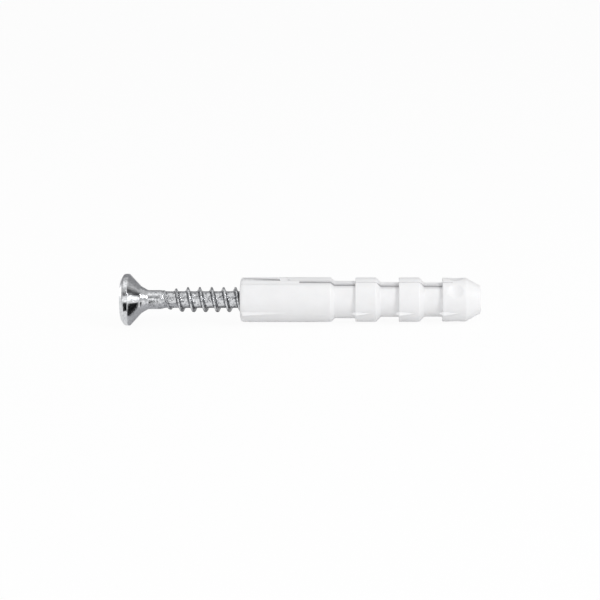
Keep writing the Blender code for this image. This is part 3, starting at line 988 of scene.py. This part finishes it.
@dataclass(frozen=True)
class BrightZincPlate:
    """Cold-headed and rolled steel under bright zinc plating, tumbled in bulk.

    The eye gets a cool silver mirror that is a little clouded, with fine rolling marks round the
    screw, small dull pits and the light dents and rubs of screws that fell on each other.
    """

    bright: str = "#ECEDEF"
    dull: str = "#C6C8CB"
    pit: str = "#5C5E62"
    # Colour of the painted shade on the thread's flanks
    painted_shade_colour: str = "#4A4B4F"
    roughness: Pair = (0.10, 0.24)
    mark_mm: float = 0.12
    pit_mm: float = 0.42
    dent_mm: float = 0.26
    ding_mm: float = 1.1
    head_end_mm: Pair = (-26.4, -21.5)

    def material(self) -> Material:
        """Build the material on object coordinates, which are metres.

        Returns:
            The new material.
        """
        material = bpy.data.materials.new("bright_zinc_plated_steel")
        tree = NodeTree(material)
        place = tree.add("TexCoord", output="Object")
        # The head's die leaves the cone smooth, and the thread comes out of the rolling dies much rougher
        rough = tree.add("MapRange", {
            "Value": tree.add("SeparateXYZ", {0: place}), "From Min": self.head_end_mm[0] * MM,
            "From Max": self.head_end_mm[1] * MM, "To Min": 0.28})
        # The plating is clouded all over, and pitted where the steel below is rough
        cloud = tree.add("TexNoise", {
            "Vector": place, "Scale": per_metre(self.dent_mm), "Detail": 4.0, "Roughness": 0.6})
        clouded = tree.add("MapRange", {"Value": cloud, "From Min": 0.38, "From Max": 0.68})
        spots = tree.add("TexNoise", {
            "Vector": place, "Scale": per_metre(self.pit_mm), "Detail": 5.0, "Roughness": 0.7})
        pits = tree.add("MapRange", {"Value": spots, "From Min": 0.5, "From Max": 0.62, "To Max": 0.85})
        pitted = tree.add("Math", {0: pits, 1: rough}, operation='MULTIPLY')
        silver = tree.add("Mix", {
            0: clouded, 6: srgb(self.bright), 7: srgb(self.dull)}, 2, data_type='RGBA')
        worn = tree.add("Mix", {0: pitted, 6: silver, 7: srgb(self.pit)}, 2, data_type='RGBA')
        gloss = tree.add("MapRange", {
            "Value": tree.add("Math", {0: clouded, 1: pitted}, operation='ADD'), "From Max": 1.2,
            "To Min": self.roughness[0], "To Max": self.roughness[1]})
        # Painted shade: the flanks beside each crest are darkened in the colour, in uneven patches
        patchy = tree.add("MapRange", {"Value": cloud, "From Min": 0.4, "From Max": 0.6, "To Min": 0.25})
        gap = tree.add("Attribute", output="Fac", attribute_name=PAINTED_SHADE_ATTRIBUTE)
        painted_flank_shade = tree.add("Math", {0: gap, 1: patchy}, operation='MULTIPLY')
        shaded = tree.add("Mix", {0: painted_flank_shade, 6: worn, 7: srgb(self.painted_shade_colour)}, 2, data_type='RGBA')
        # Broad dings from the tumbling, small dents on the rough part, and the fine marks of the rolling
        # and heading tools, which go round the screw: narrow along it, long across it
        dings = tree.add("TexNoise", {"Vector": place, "Scale": per_metre(self.ding_mm), "Detail": 1.0})
        dinged = tree.add("Bump", {"Height": dings, "Distance": 0.02 * MM, "Strength": 0.5})
        dented = tree.add("Bump", {
            "Height": cloud, "Distance": 0.09 * MM, "Strength": rough, "Normal": dinged})
        drawn = tree.add("Mapping", {"Vector": place, "Scale": (1.0, 0.14, 0.14)})
        marks = tree.add("TexNoise", {"Vector": drawn, "Scale": per_metre(self.mark_mm), "Detail": 3.0})
        relief = tree.add("Bump", {
            "Height": marks, "Distance": 0.004 * MM, "Strength": 0.35, "Normal": dented})
        plate = tree.add("BsdfPrincipled", {
            "Base Color": shaded, "Metallic": 1.0, "Roughness": gloss, "Normal": relief})
        tree.add("OutputMaterial", {"Surface": plate})
        return material


@dataclass(frozen=True)
class PaintedReflectionCard:
    """A matt card of one colour that only the metal sees: it paints a reflected band into the metal,
    without a gloss of its own.
    """

    name: str
    colour: str

    def material(self) -> Material:
        """Build the matt colour of one card.

        Returns:
            The new material.
        """
        material = bpy.data.materials.new(f"painted_reflection_{self.name}")
        tree = NodeTree(material)
        tree.add("OutputMaterial", {"Surface": tree.add("BsdfDiffuse", {"Color": srgb(self.colour)})})
        return material


@dataclass(frozen=True)
class SweepPaper:
    """Matt white background paper from a roll.

    It looks white to the camera and in the metal, but keeps the object's shadow.
    """

    colour: str = "#F2F2F2"
    seen_white: float = 0.94
    mirrored_white: float = 0.6

    def material(self) -> Material:
        """Build the paper, which glows white by a share that depends on what looks at it.

        Returns:
            The new material.
        """
        material = bpy.data.materials.new("matt_white_paper_sweep")
        tree = NodeTree(material)
        camera = tree.add("LightPath", output="Is Camera Ray")
        mirror = tree.add("LightPath", output="Is Glossy Ray")
        mirrored = tree.add("Math", {0: mirror, 1: self.mirrored_white}, operation='MULTIPLY')
        share = tree.add("Math", {0: camera, 1: self.seen_white, 2: mirrored}, operation='MULTIPLY_ADD')
        paper = tree.add("BsdfDiffuse", {"Color": srgb(self.colour)})
        glow = tree.add("Emission", {"Color": srgb("#FFFFFF"), "Strength": 1.0})
        shown = tree.add("MixShader", {0: share, 1: paper, 2: glow})
        tree.add("OutputMaterial", {"Surface": shown})
        return material


class LampRole(Enum):
    """What each lamp of the studio does."""

    KEY = "key"
    FILL = "fill"
    TOP = "top"
    SIDE = "side"
    RIM = "rim"


@dataclass(frozen=True)
class Softbox:
    """One soft lamp, with its place in millimetres, its side lengths and its power in watts."""

    role: LampRole
    place: Place
    size: Pair
    power: float

    def build(self, target: Vector) -> None:
        """Set up the lamp.

        Args:
            target: The place that it faces.
        """
        data = bpy.data.lights.new(f"{self.role.value}_softbox", 'AREA')
        data.shape = 'RECTANGLE'
        data.size, data.size_y = (side * MM for side in self.size)
        data.energy = self.power
        lamp = link_object(data.name, data)
        lamp.location = Vector(self.place) * MM
        lamp.rotation_euler = (target - lamp.location).to_track_quat('-Z', 'Y').to_euler()
        lamp.visible_camera = False


@dataclass(frozen=True)
class Flag:
    """One matt card that only the metal sees, with its colour, middle and size in millimetres.

    It faces the object unless it is told where to face. Bright metal has no look of its own, so the
    cards give it painted reflections: grey and black bands between the white ones, as a photographer's
    flags do, though these cast no shadow and give no light. The cards lying on the floor under the
    screw set how grey the shaded floor looks in the metal.
    """

    name: str
    colour: str
    place: Place
    size: Pair
    faces: Place | None = None

    def build(self, target: Vector) -> None:
        """Set up the card, hidden from the camera, from soft light and from shadows.

        Args:
            target: The place that it faces, unless it has a place of its own to face.
        """
        across, up = (side * MM / 2 for side in self.size)
        corners = [(-across, -up, 0.0), (across, -up, 0.0), (across, up, 0.0), (-across, up, 0.0)]
        middle = Vector(self.place) * MM
        facing = target if self.faces is None else Vector(self.faces) * MM
        turned = (facing - middle).to_track_quat('Z', 'Y').to_matrix()
        mesh = bpy.data.meshes.new(self.name)
        mesh.from_pydata([turned @ Vector(corner) + middle for corner in corners], [], [(0, 1, 2, 3)])
        mesh.materials.append(PaintedReflectionCard(self.name, self.colour).material())
        card = link_object(self.name, mesh)
        card.visible_camera = False
        card.visible_diffuse = False
        card.visible_shadow = False
        card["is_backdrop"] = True


@dataclass
class Studio:
    """The white sweep, the cards, the soft lamps, the world and the camera."""

    pose: LyingPose
    aim_x: float = 9.904
    aim_below_axis: float = 0.07
    elevation_deg: float = 15.0
    yaw_deg: float = 2.9
    distance: float = 326.0
    pixels_per_mm: float = 5.962
    sweep_reach: float = 900.0
    sweep_radius: float = 350.0
    sweep_height: float = 900.0
    lamps: tuple[Softbox, ...] = (
        Softbox(LampRole.KEY, (280.0, -225.0, 260.0), (105.0, 105.0), 0.62),
        Softbox(LampRole.FILL, (-90.0, -250.0, 90.0), (300.0, 200.0), 0.10),
        Softbox(LampRole.TOP, (-30.0, -60.0, 420.0), (420.0, 240.0), 0.16),
        Softbox(LampRole.SIDE, (300.0, -20.0, 32.0), (130.0, 58.0), 0.045),
        Softbox(LampRole.RIM, (-170.0, 80.0, 24.0), (110.0, 50.0), 0.024),
    )
    # Cards for painted reflections: dark bands beside the screw's head, grey cards standing in for the
    # shaded floor under the screw, and broad grey and black cards round about
    flags: tuple[Flag, ...] = (
        Flag("flag_behind", "#A0A0A2", (-20.0, 120.0, 60.0), (420.0, 120.0)),
        Flag("flag_in_front", "#7C7C7E", (-20.0, -150.0, 118.0), (300.0, 50.0)),
        Flag("flag_right", "#303032", (130.0, -20.0, 66.0), (140.0, 60.0)),
        Flag("flag_below_head", "#262628", (-25.9, -3.6, 2.2), (2.0, 4.15), (-40.0, -3.6, 2.2)),
        Flag("flag_before_rim", "#262628", (-28.2, -8.0, 2.75), (5.6, 4.9), (-28.2, 40.0, 2.75)),
        Flag("flag_below_cone", "#DADADC", (-24.9, -2.0, 0.11), (8.2, 9.6), (-24.9, -2.0, 40.0)),
        Flag("flag_below_screw", "#A8A8AA", (-15.8, 1.5, 0.12), (10.0, 5.6), (-15.8, 1.5, 40.0)),
    )
    world_light: float = 0.6

    def aim(self) -> Vector:
        """Return the place that the camera and the lamps face."""
        return self.pose.matrix() @ Vector((self.aim_x * MM, 0.0, 0.0))

    def build_sweep(self, floor_z: float) -> None:
        """Build the floor, which curves up into a wall far behind.

        Its section is flat, then a quarter circle, then upright, and it is drawn straight across.

        Args:
            floor_z: The height of the floor in metres, at the object's lowest point.
        """
        bend = np.linspace(0.0, math.pi / 2, 24)
        back = self.sweep_reach - self.sweep_radius
        curve = back + self.sweep_radius * np.sin(bend)
        y = np.concatenate([[-self.sweep_reach], curve, [self.sweep_reach]])
        z = np.concatenate([[0.0], self.sweep_radius * (1 - np.cos(bend)), [self.sweep_height]])
        x = np.linspace(-self.sweep_reach, self.sweep_reach, 7)
        points = np.stack(np.broadcast_arrays(x[None, :], y[:, None], z[:, None]), axis=-1) * MM
        points = points + np.array([0.0, 0.0, floor_z])
        row, column = np.meshgrid(np.arange(len(y) - 1), np.arange(len(x) - 1), indexing="ij")
        first = row * len(x) + column
        faces = np.stack([first, first + 1, first + 1 + len(x), first + len(x)], axis=-1).reshape(-1, 4)
        mesh = bpy.data.meshes.new("sweep")
        mesh.from_pydata(points.reshape(-1, 3).tolist(), [], faces.tolist())
        mesh.shade_smooth()
        mesh.materials.append(SweepPaper().material())
        sweep = link_object("sweep", mesh)
        sweep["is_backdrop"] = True

    def build_world(self) -> None:
        """Light the scene evenly from all sides, and show white behind it."""
        world = bpy.data.worlds.new("studio")
        bpy.context.scene.world = world
        tree = NodeTree(world)
        camera = tree.add("LightPath", output="Is Camera Ray")
        glass = tree.add("LightPath", output="Is Transmission Ray")
        seen = tree.add("Math", {0: camera, 1: glass}, operation='MAXIMUM')
        strength = tree.add("MapRange", {"Value": seen, "To Min": self.world_light})
        light = tree.add("Background", {"Color": srgb("#FFFFFF"), "Strength": strength})
        tree.add("OutputWorld", {"Surface": light})

    def build_camera(self) -> None:
        """Set up the camera from the photograph's viewing angle.

        The lens follows from the object's size in the picture: its length in pixels is the scale
        times the distance over the cosine of the yaw, and 36 mm of sensor take the 600 pixels.
        """
        elevation, yaw = math.radians(self.elevation_deg), math.radians(self.yaw_deg)
        axis = (self.pose.matrix().to_3x3() @ Vector((1.0, 0.0, 0.0))).normalized()
        front = Vector((0.0, -math.cos(elevation), math.sin(elevation)))
        back = (front * math.cos(yaw) + axis * math.sin(yaw)).normalized()
        right = (axis - back * axis.dot(back)).normalized()
        up = back.cross(right)
        turned = Matrix((right, up, back)).transposed().to_4x4()
        turned.translation = self.aim() - up * self.aim_below_axis * MM + back * self.distance * MM
        data = bpy.data.cameras.new("camera")
        data.sensor_width = SENSOR_WIDTH
        data.lens = self.pixels_per_mm * self.distance / math.cos(yaw) * SENSOR_WIDTH / IMAGE_WIDTH
        data.clip_start, data.clip_end = 0.01, 10.0
        camera = link_object("camera", data)
        camera.matrix_world = turned
        bpy.context.scene.camera = camera

    def build(self, floor_z: float) -> None:
        """Build the studio round the object.

        Args:
            floor_z: The height of the floor in metres, at the object's lowest point.
        """
        self.build_sweep(floor_z)
        self.build_world()
        for item in self.lamps + self.flags:
            item.build(self.aim())
        self.build_camera()
        bpy.context.scene.view_settings.view_transform = 'Standard'


def box_rows() -> list[list[float]]:
    """Return the shown object's lowest and highest corner as plain lists."""
    return [list(corner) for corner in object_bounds()]


def main() -> None:
    """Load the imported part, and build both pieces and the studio."""
    logging.basicConfig(level=logging.INFO, format="%(name)s: %(message)s")
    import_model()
    pose = LyingPose()
    WoodScrew(pose).dress(BrightZincPlate().material())
    WallPlug(pose).dress(MouldedNylon().material())
    shown = box_rows()
    Studio(pose).build(shown[0][2])


if __name__ == "__main__":
    main()
